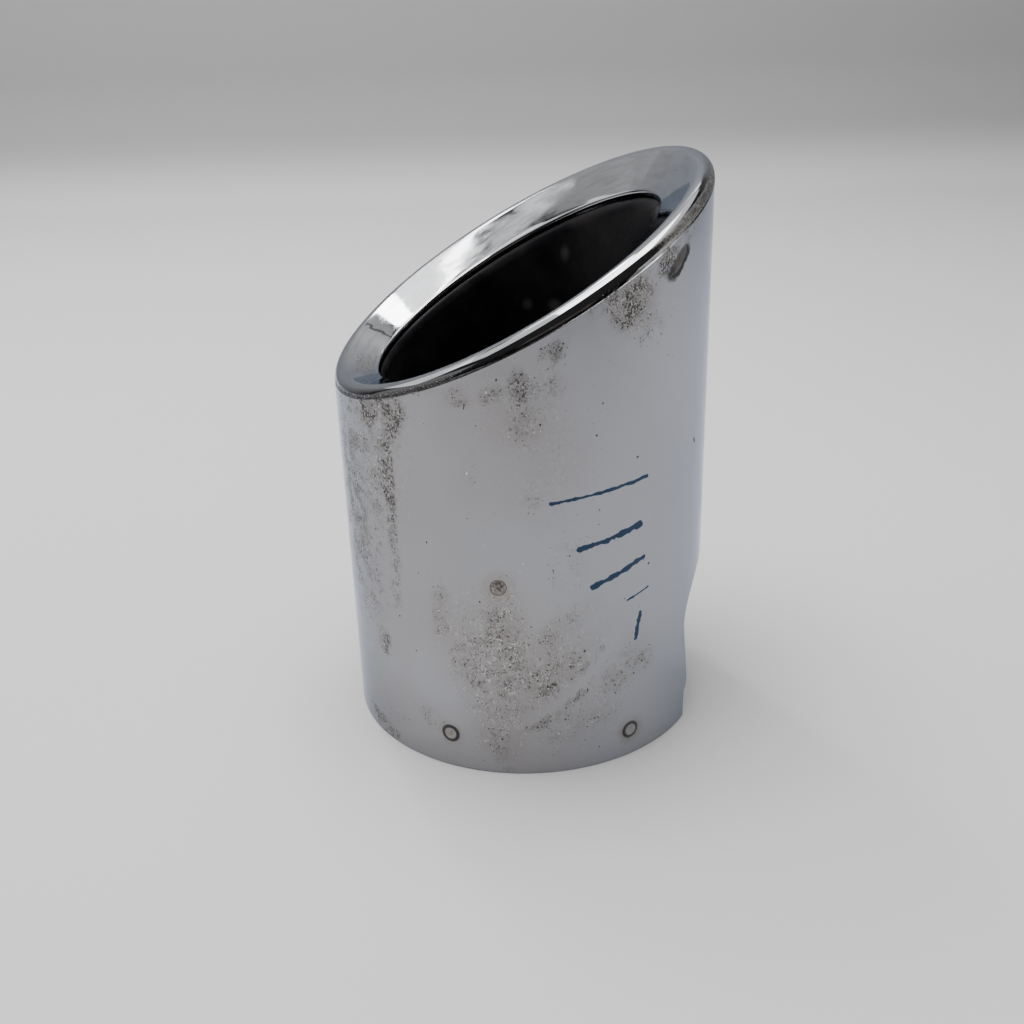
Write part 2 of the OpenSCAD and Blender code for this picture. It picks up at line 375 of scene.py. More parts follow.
def subtract(obj, cutter):
    mod = obj.modifiers.new("cut", "BOOLEAN")
    mod.operation = "DIFFERENCE"
    mod.solver = "EXACT"
    mod.object = cutter
    made = evaluated(obj)
    obj.modifiers.remove(mod)
    obj.data = made
    bpy.data.objects.remove(cutter)


def wall_wear(place, regions, least):
    """How strongly the wall is worn at each point, from a list of regions."""
    angle, height = np.degrees(np.arctan2(place[:, 1], place[:, 0])), place[:, 2]
    wear = np.full(len(place), least)
    for centre, middle, half_w, half_h, lean, edge, density in regions:
        across = np.radians((angle - centre + 180) % 360 - 180) * SHELL_R
        up = height - middle
        c, s = math.cos(math.radians(lean)), math.sin(math.radians(lean))
        reach = np.hypot((across * c + up * s) / half_w, (up * c - across * s) / half_h)
        inside = np.clip((1 + edge - reach) / (2 * edge), 0, 1)
        wear = np.maximum(wear, density * inside * inside * (3 - 2 * inside))
    return wear


rows, section = shell_rows()
shell = tube_mesh("shell_skin", rows)
store(shell, "section", np.repeat(section, STATIONS))
subtract(shell, cut_out_prism())
smooth(shell, SHARP)
shell_points = np.empty(len(shell.data.vertices) * 3)
shell.data.vertices.foreach_get("co", shell_points)
shell_points = shell_points.reshape(-1, 3) / MM
store(shell, "wear", wall_wear(shell_points, PITTED, LEAST_WEAR))
store(shell, "frost", wall_wear(shell_points, FROSTED, LEAST_FROST))


# The sleeve: socket below, then the flared part whose sheet laps over itself near the high side

def lap_thickness(t):
    """How thick the overlapping sheet is at the angle t behind the seam."""
    return np.where((t < 0) | (t > LAP_SPAN), 0.0, SLEEVE_T * np.minimum(1, (LAP_SPAN - t) / (LAP_SPAN / 2)))


def clip_shift(t):
    """How far the seam draws back at the rim, which clips its upper corner."""
    return LAP_CLIP * np.maximum(0, 1 - np.abs(t) / (2 * LAP_CLIP))


def sleeve_wall(s, w, out):
    """A row of the flared part at the share s of its height, out from its inner face by a distance."""
    a = SOCKET_R + (MOUTH_A - FLARE_W - SOCKET_R) * s * s + out
    b = SOCKET_R + (MOUTH_B - FLARE_W - SOCKET_R) * s * s + out
    top = SLEEVE_RIM_Z - FLARE_H + SLOPE * a * np.cos(w)
    return np.stack([a * np.cos(w), b * np.sin(w), SOCKET_TOP + 1 + (top - SOCKET_TOP - 1) * s], -1)


def sleeve_flare(f, w, out):
    """A row of the rim's short flare at the share f of its height."""
    a = MOUTH_A + out - FLARE_W * (1 - f * f)
    b = MOUTH_B + out - FLARE_W * (1 - f * f)
    z = SLEEVE_RIM_Z - FLARE_H * (1 - f) + SLOPE * a * np.cos(w)
    return np.stack([a * np.cos(w), b * np.sin(w), z], -1)


def sleeve_rows():
    """The sleeve's rows from its lower end up the outside, over the rim and down the inside."""
    seam = [LAP_ANGLE - 0.25, LAP_ANGLE, LAP_ANGLE + 0.1]
    w = np.concatenate([np.arange(LAP_ANGLE - 359.0, LAP_ANGLE - 0.5, 1.0), seam])
    t = LAP_ANGLE - w
    lap = lap_thickness(t)
    a = np.radians(w)
    outside = SOCKET_R + SLEEVE_T
    rows = [on_wall(SOCKET_R + SLEEVE_BEVEL, a, SLEEVE_Z), on_wall(outside - SLEEVE_BEVEL, a, SLEEVE_Z)]
    for z in (SLEEVE_Z + SLEEVE_BEVEL, SLEEVE_MID_Z, SOCKET_TOP - SLEEVE_BEVEL):
        rows.append(on_wall(outside, a, z))
    rows.append(on_wall(outside - SLEEVE_SHOULDER, a, SOCKET_TOP))
    levels = np.linspace(0, 1, 14)
    for s in levels[:-1]:
        rows.append(sleeve_wall(s, a, SLEEVE_T - SLEEVE_STEP))
    bands = np.linspace(0, 1, 7)
    for f in bands:
        rows.append(sleeve_flare(f, a, SLEEVE_T - (SLEEVE_BEVEL if f == 1 else 0.0)))
    for f in bands[::-1]:
        turn = a - np.radians(f * clip_shift(t))
        rows.append(sleeve_flare(f, turn, -lap + (SLEEVE_BEVEL if f == 1 else 0.0)))
    for s in levels[-2::-1]:
        rows.append(sleeve_wall(s, a, SLEEVE_STEP - (lap if s > 0 else 0)))
    for z in (SOCKET_TOP, SLEEVE_MID_Z, SLEEVE_Z + SLEEVE_BEVEL):
        rows.append(on_wall(SOCKET_R, a, z))
    return rows


sleeve = tube_mesh("sleeve_skin", sleeve_rows(), SLEEVE_SHARP)


# Helpers for node trees

def group_socket(tree, name, way, kind, value=None):
    socket = tree.interface.new_socket(name=name, in_out=way, socket_type=kind)
    if value is not None:
        socket.default_value = value


def fill(node, inputs):
    """Links or sets the node's inputs, by name or number."""
    for key, value in inputs.items():
        if isinstance(value, bpy.types.NodeSocket):
            node.id_data.links.new(value, node.inputs[key])
        else:
            node.inputs[key].default_value = value
    return node.outputs


def add_node(tree, kind, inputs=None, **props):
    node = tree.nodes.new(kind)
    for key, value in props.items():
        setattr(node, key, value)
    return fill(node, inputs or {})


def shade(tree, kind, inputs=None, **props):
    return add_node(tree, "ShaderNode" + kind, inputs, **props)


def math_node(tree, operation, *values):
    return shade(tree, "Math", dict(enumerate(values)), operation=operation)[0]


def chain(tree, operation, values):
    result = values[0]
    for value in values[1:]:
        result = math_node(tree, operation, result, value)
    return result


def product(tree, *values):
    return chain(tree, "MULTIPLY", values)


def highest(tree, *values):
    return chain(tree, "MAXIMUM", values)


def vector(tree, x, y, z):
    return shade(tree, "CombineXYZ", {0: x, 1: y, 2: z})[0]


# Weld marks on the shell: raised rings with a dished middle near the base, rough nuggets higher up

def mark_disc(name, profile, reach, ripple):
    """A small disc facing +Z, its middle at the origin and its height a profile over the radius."""
    rng = np.random.default_rng(MARK_SEED)
    phase = rng.uniform(0, 2 * math.pi, MARK_WAVES)
    spokes = MARK_SPOKES
    radii = np.linspace(0, 1, len(profile))
    points, faces = [(0.0, 0.0, profile[0])], []
    for k, h in enumerate(profile[1:], 1):
        for i in range(spokes):
            t = 2 * math.pi * i / spokes
            waves = (math.sin((n + 2) * t + phase[n] + 5 * radii[k]) for n in range(MARK_WAVES))
            wave = sum(waves) / MARK_WAVES
            r = reach * radii[k]
            bump = h * (1 + ripple * wave) if k < len(profile) - 1 else h
            points.append((r * math.cos(t), r * math.sin(t), bump))
    for i in range(spokes):
        faces.append((0, 1 + i, 1 + (i + 1) % spokes))
    for k in range(len(profile) - 2):
        for i in range(spokes):
            a, b = 1 + k * spokes + i, 1 + k * spokes + (i + 1) % spokes
            faces.append((a, a + spokes, b + spokes, b))
    # The disc follows the wall's roundness
    points = np.array(points)
    points[:, 2] += np.sqrt(SHELL_R ** 2 - points[:, 1] ** 2) - SHELL_R
    disc = mesh_of(name, points, faces, ROUND_SHARP)
    for attribute, value in (("section", -1.0), ("wear", MARK_WEAR), ("frost", 0.0)):
        store(disc, attribute, np.full(len(points), value))
    return disc


def marks_on_wall(name, disc, material, spots):
    """Copies of the disc on the wall, at plus and minus the angle of each spot, for one or two spots."""
    tree = bpy.data.node_groups.new(name, "GeometryNodeTree")
    (first_angle, first_height), (second_angle, second_height) = spots[0], spots[-1]
    inputs = {
        "First Angle": math.radians(first_angle),
        "First Height": first_height * MM,
        "Second Angle": math.radians(second_angle),
        "Second Height": second_height * MM,
        "Wall Radius": SHELL_R * MM,
    }
    group_socket(tree, "Geometry", "INPUT", "NodeSocketGeometry")
    for label, value in inputs.items():
        group_socket(tree, label, "INPUT", "NodeSocketFloat", value)
    group_socket(tree, "Geometry", "OUTPUT", "NodeSocketGeometry")
    g_in, g_out = tree.nodes.new("NodeGroupInput").outputs, tree.nodes.new("NodeGroupOutput").inputs

    # Marks 0 and 1 are the first spot's two sides, marks 2 and 3 the second's
    points = add_node(tree, "GeometryNodePoints", {"Count": 2 * len(spots)})[0]
    index = add_node(tree, "GeometryNodeInputIndex")[0]
    sign = math_node(tree, "MULTIPLY_ADD", math_node(tree, "MODULO", index, 2.0), 2.0, -1.0)
    second = math_node(tree, "GREATER_THAN", index, 1.5)
    angle = shade(tree, "Mix", {0: second, 2: g_in["First Angle"], 3: g_in["Second Angle"]})[0]
    height = shade(tree, "Mix", {0: second, 2: g_in["First Height"], 3: g_in["Second Height"]})[0]
    turn = product(tree, angle, sign)
    x = product(tree, math_node(tree, "COSINE", turn), g_in["Wall Radius"])
    y = product(tree, math_node(tree, "SINE", turn), g_in["Wall Radius"])
    moved = {"Geometry": points, "Position": vector(tree, x, y, height)}
    points = add_node(tree, "GeometryNodeSetPosition", moved)[0]
    spin = add_node(tree, "FunctionNodeEulerToRotation", {0: vector(tree, 0.0, math.pi / 2, turn)})[0]
    source = add_node(tree, "GeometryNodeObjectInfo", {"Object": disc})["Geometry"]
    copies = {"Points": points, "Instance": source, "Rotation": spin}
    placed = add_node(tree, "GeometryNodeInstanceOnPoints", copies)[0]
    real = add_node(tree, "GeometryNodeRealizeInstances", {0: placed})[0]
    paint = add_node(tree, "GeometryNodeSetMaterial", {0: real, "Material": material})[0]
    tree.links.new(paint, g_out[0])

    host = link(bpy.data.objects.new(name, bpy.data.meshes.new(name)))
    mod = host.modifiers.new("marks", "NODES")
    mod.node_group = tree
    ids = {s.name: s.identifier for s in tree.interface.items_tree if s.in_out == "INPUT"}
    for label, value in inputs.items():
        mod[ids[label]] = value
    made = evaluated(host)
    made.name = name
    host.modifiers.remove(mod)
    host.data = made
    bpy.data.objects.remove(disc)
    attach(host, "root")


# Helpers for materials

def new_material(name):
    mat = bpy.data.materials.new(name)
    mat.use_nodes = True
    tree = mat.node_tree
    tree.nodes.clear()
    out = tree.nodes.new("ShaderNodeOutputMaterial")
    bsdf = tree.nodes.new("ShaderNodeBsdfPrincipled")
    tree.links.new(bsdf.outputs["BSDF"], out.inputs["Surface"])
    return mat, tree, bsdf


def noise(tree, place, scale, detail, roughness=0.5, distortion=0.0):
    look = {"Scale": scale, "Detail": detail, "Roughness": roughness, "Distortion": distortion}
    return shade(tree, "TexNoise", {"Vector": place, **look})["Fac"]


def ramp(tree, value, low, high, to_low=0.0, to_high=1.0):
    inputs = {0: value, 1: low, 2: high, 3: to_low, 4: to_high}
    return shade(tree, "MapRange", inputs, interpolation_type="SMOOTHSTEP")[0]


def straight_ramp(tree, value, to_low, to_high):
    return shade(tree, "MapRange", {0: value, 1: 0.0, 2: 1.0, 3: to_low, 4: to_high})[0]


def rgb(color):
    return (*color, 1)


def blend(tree, factor, a, b):
    return shade(tree, "Mix", {0: factor, 6: a, 7: b}, data_type="RGBA")[2]


def new_group(name, inputs, outputs):
    tree = bpy.data.node_groups.new(name, "ShaderNodeTree")
    for label, kind, value in inputs:
        group_socket(tree, label, "INPUT", "NodeSocket" + kind, value)
    for label, kind in outputs:
        group_socket(tree, label, "OUTPUT", "NodeSocket" + kind)
    return tree, tree.nodes.new("NodeGroupInput").outputs, tree.nodes.new("NodeGroupOutput").inputs


def use(tree, group, **values):
    node = tree.nodes.new("ShaderNodeGroup")
    node.node_tree = group
    return fill(node, {key.replace("_", " ").title(): value for key, value in values.items()})


# Shared node groups: the place on the tube, an oval region, pits, crazing and a pen stroke

def tube_place_group():
    """Where a point of the surface lies: its angle in degrees, its height and its place, in millimetres."""
    tree, _, out = new_group(
        "tube_place",
        [],
        [("Angle", "Float"), ("Height", "Float"), ("Place", "Vector")],
    )
    coord = shade(tree, "TexCoord")["Object"]
    place = shade(tree, "Mapping", {"Vector": coord, "Scale": (1 / MM,) * 3})[0]
    xyz = shade(tree, "SeparateXYZ", {0: place})
    angle = math_node(tree, "ARCTAN2", xyz[1], xyz[0])
    tree.links.new(math_node(tree, "DEGREES", angle), out["Angle"])
    tree.links.new(xyz[2], out["Height"])
    tree.links.new(place, out["Place"])
    return tree


def patch_group():
    """A soft oval region on the wall, 1 inside and 0 outside."""
    tree, inp, out = new_group(
        "wall_patch",
        [("Angle", "Float", 0), ("Height", "Float", 0), ("Centre Angle", "Float", 0),
         ("Centre Height", "Float", 0), ("Half Width", "Float", 5), ("Half Height", "Float", 5),
         ("Turn", "Float", 0), ("Edge", "Float", 0.5)],
        [("Mask", "Float")],
    )
    turn = math_node(tree, "SUBTRACT", inp["Angle"], inp["Centre Angle"])
    turn = math_node(tree, "WRAP", turn, 180.0, -180.0)
    across = product(tree, turn, DEGREE_LENGTH)
    up = math_node(tree, "SUBTRACT", inp["Height"], inp["Centre Height"])
    turned = {"Vector": vector(tree, across, up, 0.0), "Angle": math_node(tree, "RADIANS", inp["Turn"])}
    flat = shade(tree, "VectorRotate", turned, rotation_type="Z_AXIS")[0]
    size = vector(tree, inp["Half Width"], inp["Half Height"], 1.0)
    share = shade(tree, "VectorMath", {0: flat, 1: size}, operation="DIVIDE")[0]
    reach = shade(tree, "VectorMath", {0: share}, operation="LENGTH")["Value"]
    low = math_node(tree, "SUBTRACT", 1.0, inp["Edge"])
    high = math_node(tree, "ADD", 1.0, inp["Edge"])
    tree.links.new(ramp(tree, reach, low, high, 1.0, 0.0), out["Mask"])
    return tree


def pits_group():
    """Flaking plating: dark pits and light blisters that crowd together where the density is high."""
    tree, inp, out = new_group(
        "plating_pits",
        [("Place", "Vector", (0, 0, 0)), ("Density", "Float", 0.3), ("Grain", "Float", 1.0)],
        [("Pits", "Float"), ("Blisters", "Float"), ("Height", "Float")],
    )
    place, density, grain = inp["Place"], inp["Density"], inp["Grain"]
    some = math_node(tree, "GREATER_THAN", density, 0.01)
    speckle = {"Vector": place, "Scale": product(tree, grain, 1.7), "Detail": 2.0, "Roughness": 0.6}
    fine = shade(tree, "TexNoise", speckle)

    # Ragged pits and blisters, where the noise is high or low enough
    above = math_node(tree, "SUBTRACT", fine["Fac"], straight_ramp(tree, density, 0.76, 0.47))
    holes = product(tree, ramp(tree, above, 0.0, 0.04), some)
    below = math_node(tree, "SUBTRACT", straight_ramp(tree, density, 0.18, 0.44), fine["Fac"])
    bright = product(tree, ramp(tree, below, 0.0, 0.05), some)

    # Round ones, strewn by chance
    drift = shade(tree, "VectorMath", {0: fine["Color"], "Scale": 0.7}, operation="SCALE")[0]
    moved = shade(tree, "VectorMath", {0: place, 1: drift}, operation="ADD")[0]
    cells = shade(tree, "TexVoronoi", {"Vector": moved, "Scale": grain, "Randomness": 1.0})
    chance = shade(tree, "SeparateColor", {0: cells["Color"]})
    share = product(tree, math_node(tree, "POWER", density, 2.2), 0.8)
    present = math_node(tree, "LESS_THAN", chance[0], share)
    radius = math_node(tree, "MULTIPLY_ADD", chance[1], 0.20, 0.14)
    inside = math_node(tree, "SUBTRACT", radius, cells["Distance"])
    dot = product(tree, ramp(tree, inside, -0.02, 0.03), present)
    pale_dot = product(tree, dot, math_node(tree, "GREATER_THAN", chance[2], 0.66))
    dark_dot = math_node(tree, "SUBTRACT", dot, pale_dot)

    pits, blisters = highest(tree, holes, dark_dot), highest(tree, bright, pale_dot)
    tree.links.new(pits, out["Pits"])
    tree.links.new(blisters, out["Blisters"])
    tree.links.new(math_node(tree, "SUBTRACT", blisters, pits), out["Height"])
    return tree


def crazing_group():
    """Crazed plating: fine winding ridges, each with a painted highlight on one side and painted shade on
    the other.
    """
    tree, inp, out = new_group(
        "crazed_plating",
        [("Place", "Vector", (0, 0, 0)), ("Amount", "Float", 0.5), ("Grain", "Float", 1.0)],
        [("Light", "Float"), ("Dark", "Float")],
    )
    field = noise(tree, inp["Place"], inp["Grain"], 1.5, 0.5, 0.9)
    patchy = noise(tree, inp["Place"], 0.35, 2.0)
    amount = product(tree, inp["Amount"], ramp(tree, patchy, 0.36, 0.58, 0.15, 1.0))
    # A line of painted highlight and a line of painted shade side by side along each ridge
    for level, name in ((0.50, "Light"), (0.555, "Dark")):
        gap = math_node(tree, "ABSOLUTE", math_node(tree, "SUBTRACT", field, level))
        tree.links.new(product(tree, ramp(tree, gap, 0.036, 0.012), amount), out[name])
    return tree


def dash_group():
    """A straight pen stroke on the wall between two places, streaky like a drying marker."""
    tree, inp, out = new_group(
        "pen_dash",
        [("Angle", "Float", 0), ("Height", "Float", 0), ("From Angle", "Float", 0),
         ("From Height", "Float", 0), ("To Angle", "Float", 0), ("To Height", "Float", 0),
         ("Width", "Float", 0.6), ("Place", "Vector", (0, 0, 0))],
        [("Mask", "Float")],
    )
    here, start, end = (
        vector(tree, product(tree, inp[prefix + "Angle"], DEGREE_LENGTH), inp[prefix + "Height"], 0.0)
        for prefix in ("", "From ", "To ")
    )

    def of_vectors(operation, a, b):
        return shade(tree, "VectorMath", {0: a, 1: b}, operation=operation)

    run, off = of_vectors("SUBTRACT", end, start)[0], of_vectors("SUBTRACT", here, start)[0]
    dot, size = (of_vectors("DOT_PRODUCT", a, run)["Value"] for a in (off, run))
    t = shade(tree, "Clamp", {0: math_node(tree, "DIVIDE", dot, size)})[0]
    near = shade(tree, "VectorMath", {0: run, "Scale": t}, operation="SCALE")[0]
    gap = of_vectors("DISTANCE", off, near)["Value"]
    swell = noise(tree, inp["Place"], 0.35, 2.0)
    reach = product(tree, inp["Width"], ramp(tree, swell, 0.3, 0.7, 0.55, 1.25))
    edge = math_node(tree, "SUBTRACT", reach, gap)
    dry = noise(tree, inp["Place"], 1.6, 3.0)
    ink = math_node(tree, "MULTIPLY_ADD", dry, 0.5, math_node(tree, "SUBTRACT", edge, 0.25))
    tree.links.new(ramp(tree, ink, 0.0, 0.16), out["Mask"])
    return tree


place_group = tube_place_group()
patch = patch_group()
pits = pits_group()
crazing = crazing_group()
dash = dash_group()


def oval(tree, angle, height, centre, half, edge, turn=0.0):
    """The mask of an oval region, from its centre's angle and height, its half sizes and its soft edge."""
    where = dict(centre_angle=centre[0], centre_height=centre[1], half_width=half[0], half_height=half[1])
    return use(tree, patch, angle=angle, height=height, **where, turn=turn, edge=edge)["Mask"]


# Materials

def chrome_masks(tree, angle, height, place):
    """Where each kind of wear and dirt lies on the chrome, by name, and the height of its relief."""
    section, wear, frost = (
        shade(tree, "Attribute", attribute_name=name)["Fac"] for name in ("section", "wear", "frost")
    )
    wall = ramp(tree, section, -0.02, -0.06)
    below_roll = ramp(tree, section, 0.24, 0.12)
    lip = product(tree, ramp(tree, section, -0.03, 0.0), ramp(tree, section, 3.9, 3.3))
    stain = noise(tree, place, 0.4, 4.0, 0.65)

    # The wall's pits, and those on the outside of the roll at its high end
    cloud = noise(tree, place, 0.22, 3.0, 0.65)
    pitted = product(tree, wear, ramp(tree, cloud, 0.34, 0.62, 0.5, 1.12), below_roll)
    roll_outside = product(tree, ramp(tree, section, 0.0, 0.03), ramp(tree, section, 0.46, 0.34))
    worn_roll = product(tree, oval(tree, angle, height, (-40, 142), (21, 20), 0.3), roll_outside)

    # Spots of dirt along the crease at the low end, and soot spots at the low end of the funnel
    crease_band = product(tree, ramp(tree, section, -0.06, -0.02), ramp(tree, section, 0.30, 0.12))
    low_crease = product(tree, crease_band, ramp(tree, angle, -112.0, -130.0))
    funnel = product(tree, ramp(tree, section, 1.15, 1.4), ramp(tree, section, 2.0, 1.9))
    soot = product(tree, oval(tree, angle, height, (172, 100), (8, 5), 0.5), funnel)
    spots = ((worn_roll, 0.68), (low_crease, 0.9), (soot, 0.62))
    density = highest(tree, pitted, *(product(tree, mask, share) for mask, share in spots))

    # A dark wavy line across the funnel at the back
    line_at = math_node(tree, "MULTIPLY_ADD", section, 4.4, 137.2)
    line_at = math_node(tree, "MULTIPLY_ADD", noise(tree, place, 0.3, 1.5), 6.0, line_at)
    line_gap = math_node(tree, "ABSOLUTE", math_node(tree, "SUBTRACT", angle, line_at))
    line_ends = ramp(tree, section, 0.95, 1.05), ramp(tree, section, 2.2, 2.0)
    wavy_line = product(tree, ramp(tree, line_gap, 0.9, 0.4), *line_ends)

    # Flakes, crazing and the dull film round them, a little drawn out along the tube
    drawn_out = shade(tree, "Mapping", {"Vector": place, "Scale": (1, 1, 0.82)})[0]
    flakes = use(tree, pits, place=drawn_out, density=density, grain=1.25)
    frosted = highest(tree, product(tree, frost, wall), product(tree, worn_roll, 0.9))
    # The crazing's ridges carry painted highlight and painted shade
    crazed = use(tree, crazing, place=drawn_out, amount=frosted, grain=0.8)
    film = product(tree, ramp(tree, density, 0.15, 0.85), 0.9, ramp(tree, stain, 0.35, 0.65, 0.35, 1.0))

    # Painted shade in the crease under the roll, patchy, and left off the worn part of the roll
    crease = product(tree, ramp(tree, section, -0.05, 0.0), ramp(tree, section, 0.20, 0.05))
    crease = product(tree, crease, ramp(tree, stain, 0.3, 0.6, 0.55, 1.0))
    crease = product(tree, crease, math_node(tree, "SUBTRACT", 1.0, worn_roll))

    # The leaf-shaped flake with its ragged edge and dark foot, and the small hook of worn plating below it
    ragged = math_node(tree, "MULTIPLY_ADD", stain, 4.0, math_node(tree, "SUBTRACT", angle, 2.0))
    leaf_out = oval(tree, ragged, height, (-54.0, 131.9), (2.2, 4.9), 0.10, 48)
    leaf_in = oval(tree, ragged, height, (-54.7, 132.35), (1.35, 3.9), 0.14, 48)
    leaf_rim = math_node(tree, "SUBTRACT", leaf_out, leaf_in)
    leaf_foot = oval(tree, angle, height, (-57.6, 129.3), (1.9, 1.5), 0.5, 20)
    leaf_foot = product(tree, leaf_foot, ramp(tree, stain, 0.4, 0.55, 0.45, 1.0))
    hook = oval(tree, angle, height, (-41.6, 83.7), (0.4, 0.9), 0.4, -30)
    leaf_edge = product(tree, highest(tree, leaf_rim, 0.0, leaf_foot, hook), below_roll)

    # Dark rings and brown heat tint at the weld marks, the same on the hidden side
    mirrored = math_node(tree, "ABSOLUTE", angle)
    rings, halos = [], []
    for centre, r_out, r_in, r_tint in WELD_STAINS:
        outer, inner, halo = (
            oval(tree, mirrored, height, centre, (r, r), edge)
            for r, edge in ((r_out, 0.10), (r_in, 0.14), (r_tint, 0.4))
        )
        rings.append(math_node(tree, "SUBTRACT", outer, inner))
        halos.append(halo)
    heat_tint = product(tree, highest(tree, 0.0, *halos), ramp(tree, stain, 0.3, 0.7, 0.2, 1.0))

    # Pen strokes
    strokes = []
    for a, b, c, d, half in DASHES:
        ends = dict(from_angle=a, from_height=b, to_angle=c, to_height=d)
        strokes.append(use(tree, dash, angle=angle, height=height, **ends, width=half, place=place)["Mask"])
    ink = product(tree, highest(tree, 0.0, *strokes), wall)

    # A painted bluish reflection on the wall at the right, a painted lighter reflection at its upper right,
    # and smears across the funnel
    right = product(tree, ramp(tree, angle, -108.0, -70.0), ramp(tree, angle, 140.0, 80.0))
    upper_right_painted_reflection = product(tree, ramp(tree, angle, -85.0, -50.0), ramp(tree, height, 70.0, 125.0))
    upper_right_painted_reflection = product(tree, upper_right_painted_reflection, ramp(tree, angle, 60.0, 10.0))
    across_lip = vector(tree, product(tree, angle, 0.09), product(tree, section, 5.0), 0.0)
    smear = ramp(tree, noise(tree, across_lip, 1.0, 4.0, 0.6, 0.6), 0.42, 0.68)
    smear = product(tree, smear, lip, ramp(tree, section, 0.5, 0.9))

    masks = dict(
        right=right,
        upper_right_painted_reflection=upper_right_painted_reflection,
        lip=lip,
        smear=smear,
        film=film,
        heat_tint=heat_tint,
        frosted=frosted,
        crazed_painted_shade=crazed["Dark"],
        crazed_painted_highlight=crazed["Light"],
        worn_roll=worn_roll,
        blisters=product(tree, flakes["Blisters"], ramp(tree, stain, 0.38, 0.62, 0.35, 0.85)),
        pits=flakes["Pits"],
        crease=crease,
        wavy_line=wavy_line,
        leaf=product(tree, leaf_in, below_roll),
        leaf_edge=leaf_edge,
        weld_rings=highest(tree, 0.0, *rings),
        ink=ink,
    )
    return masks, flakes["Height"]


def chrome_material():
    mat, tree, bsdf = new_material("worn_chrome")
    where = use(tree, place_group)
    place = where["Place"]
    masks, relief = chrome_masks(tree, where["Angle"], where["Height"], place)

    color = blend(tree, ramp(tree, noise(tree, place, 0.03, 2.0), 0.3, 0.7), rgb(WALL_WARM), rgb(WALL_COOL))
    for name, share, over in CHROME_LAYERS:
        mask = masks[name] if share == 1.0 else product(tree, masks[name], share)
        color = blend(tree, mask, color, rgb(over))
    tree.links.new(color, bsdf.inputs["Base Color"])
    bsdf.inputs["Specular Tint"].default_value = rgb(CHROME_GRAZING)

    # Pits, dark marks and ink are no bare metal
    dull = highest(tree, masks["pits"], highest(tree, masks["leaf_edge"], masks["weld_rings"]), masks["ink"])
    metal = math_node(tree, "SUBTRACT", 1.0, product(tree, dull, 0.85))
    tree.links.new(metal, bsdf.inputs["Metallic"])
    rough = ramp(tree, noise(tree, place, 0.09, 4.0, 0.6), 0.35, 0.7, 0.10, 0.2)
    rough = product(tree, rough, ramp(tree, masks["lip"], 0.0, 1.0, 1.0, 0.32))
    for name, more in CHROME_ROUGH:
        rough = math_node(tree, "MULTIPLY_ADD", masks[name], more, rough)
    tree.links.new(highest(tree, rough, product(tree, dull, 0.6)), bsdf.inputs["Roughness"])

    # Relief of the flakes, and a faint waviness of the pressed sheet
    small = shade(tree, "Bump", {"Height": relief, "Strength": 0.9, "Distance": 0.0001})[0]
    wave = noise(tree, place, 0.07, 1.5)
    large = shade(tree, "Bump", {"Height": wave, "Strength": 0.3, "Distance": 0.0002, "Normal": small})[0]
    tree.links.new(large, bsdf.inputs["Normal"])
    return mat


def sleeve_material():
    mat, tree, bsdf = new_material("sooty_black")
    where = use(tree, place_group)
    soot = noise(tree, where["Place"], 0.08, 5.0, 0.6)
    # Pale spots painted as soft highlights on the sooty inside
    painted_highlights = [oval(tree, where["Angle"], where["Height"], (a, z), half, 0.8) for a, z, *half in SLEEVE_PAINTED_HIGHLIGHTS]
    color = blend(tree, ramp(tree, soot, 0.4, 0.75), rgb((0.006, 0.006, 0.008)), rgb((0.020, 0.017, 0.017)))
    color = blend(tree, product(tree, highest(tree, 0.0, *painted_highlights), 0.6), color, rgb((0.09, 0.085, 0.083)))
    tree.links.new(color, bsdf.inputs["Base Color"])
    tree.links.new(ramp(tree, soot, 0.3, 0.7, 0.24, 0.42), bsdf.inputs["Roughness"])
    bsdf.inputs["Specular IOR Level"].default_value = 0.16
    return mat


def steel_material():
    mat, tree, bsdf = new_material("bracket_steel")
    tone = noise(tree, use(tree, place_group)["Place"], 0.3, 5.0)
    color = blend(tree, tone, rgb((0.30, 0.29, 0.28)), rgb((0.46, 0.45, 0.44)))
    tree.links.new(color, bsdf.inputs["Base Color"])
    tree.links.new(ramp(tree, tone, 0.3, 0.7, 0.38, 0.6), bsdf.inputs["Roughness"])
    bsdf.inputs["Metallic"].default_value = 1.0
    return mat


def nugget_material():
    mat, tree, bsdf = new_material("weld_nugget")
    tone = noise(tree, use(tree, place_group)["Place"], 1.6, 4.0)
    light = (0.34, 0.31, 0.28)
    dark = [c * 0.45 for c in light]
    color = blend(tree, ramp(tree, tone, 0.35, 0.65), rgb(dark), rgb(light))
    tree.links.new(color, bsdf.inputs["Base Color"])
    tree.links.new(ramp(tree, tone, 0.3, 0.7, 0.35, 0.55), bsdf.inputs["Roughness"])
    bsdf.inputs["Metallic"].default_value = 0.8
    return mat


def floor_material():
    """Pale on the floor; the wall behind gets painted shade, darkest just above the floor and lighter again
    further up.
    """
    mat, tree, bsdf = new_material("floor_pale")
    height = shade(tree, "SeparateXYZ", {0: shade(tree, "TexCoord")["Object"]})[2]
    floor, wall, top = rgb((0.735, 0.723, 0.736)), rgb((0.36, 0.36, 0.362)), rgb((0.6, 0.6, 0.6))
    # Painted shade: the wall behind darker than the floor, less so higher up
    color = blend(tree, ramp(tree, height, -0.015, 0.055), floor, wall)
    color = blend(tree, ramp(tree, height, 0.3, 1.1), color, top)
    tree.links.new(color, bsdf.inputs["Base Color"])
    bsdf.inputs["Roughness"].default_value = 0.95
    return mat


def dress(obj, mat):
    obj.data.materials.clear()
    obj.data.materials.append(mat)


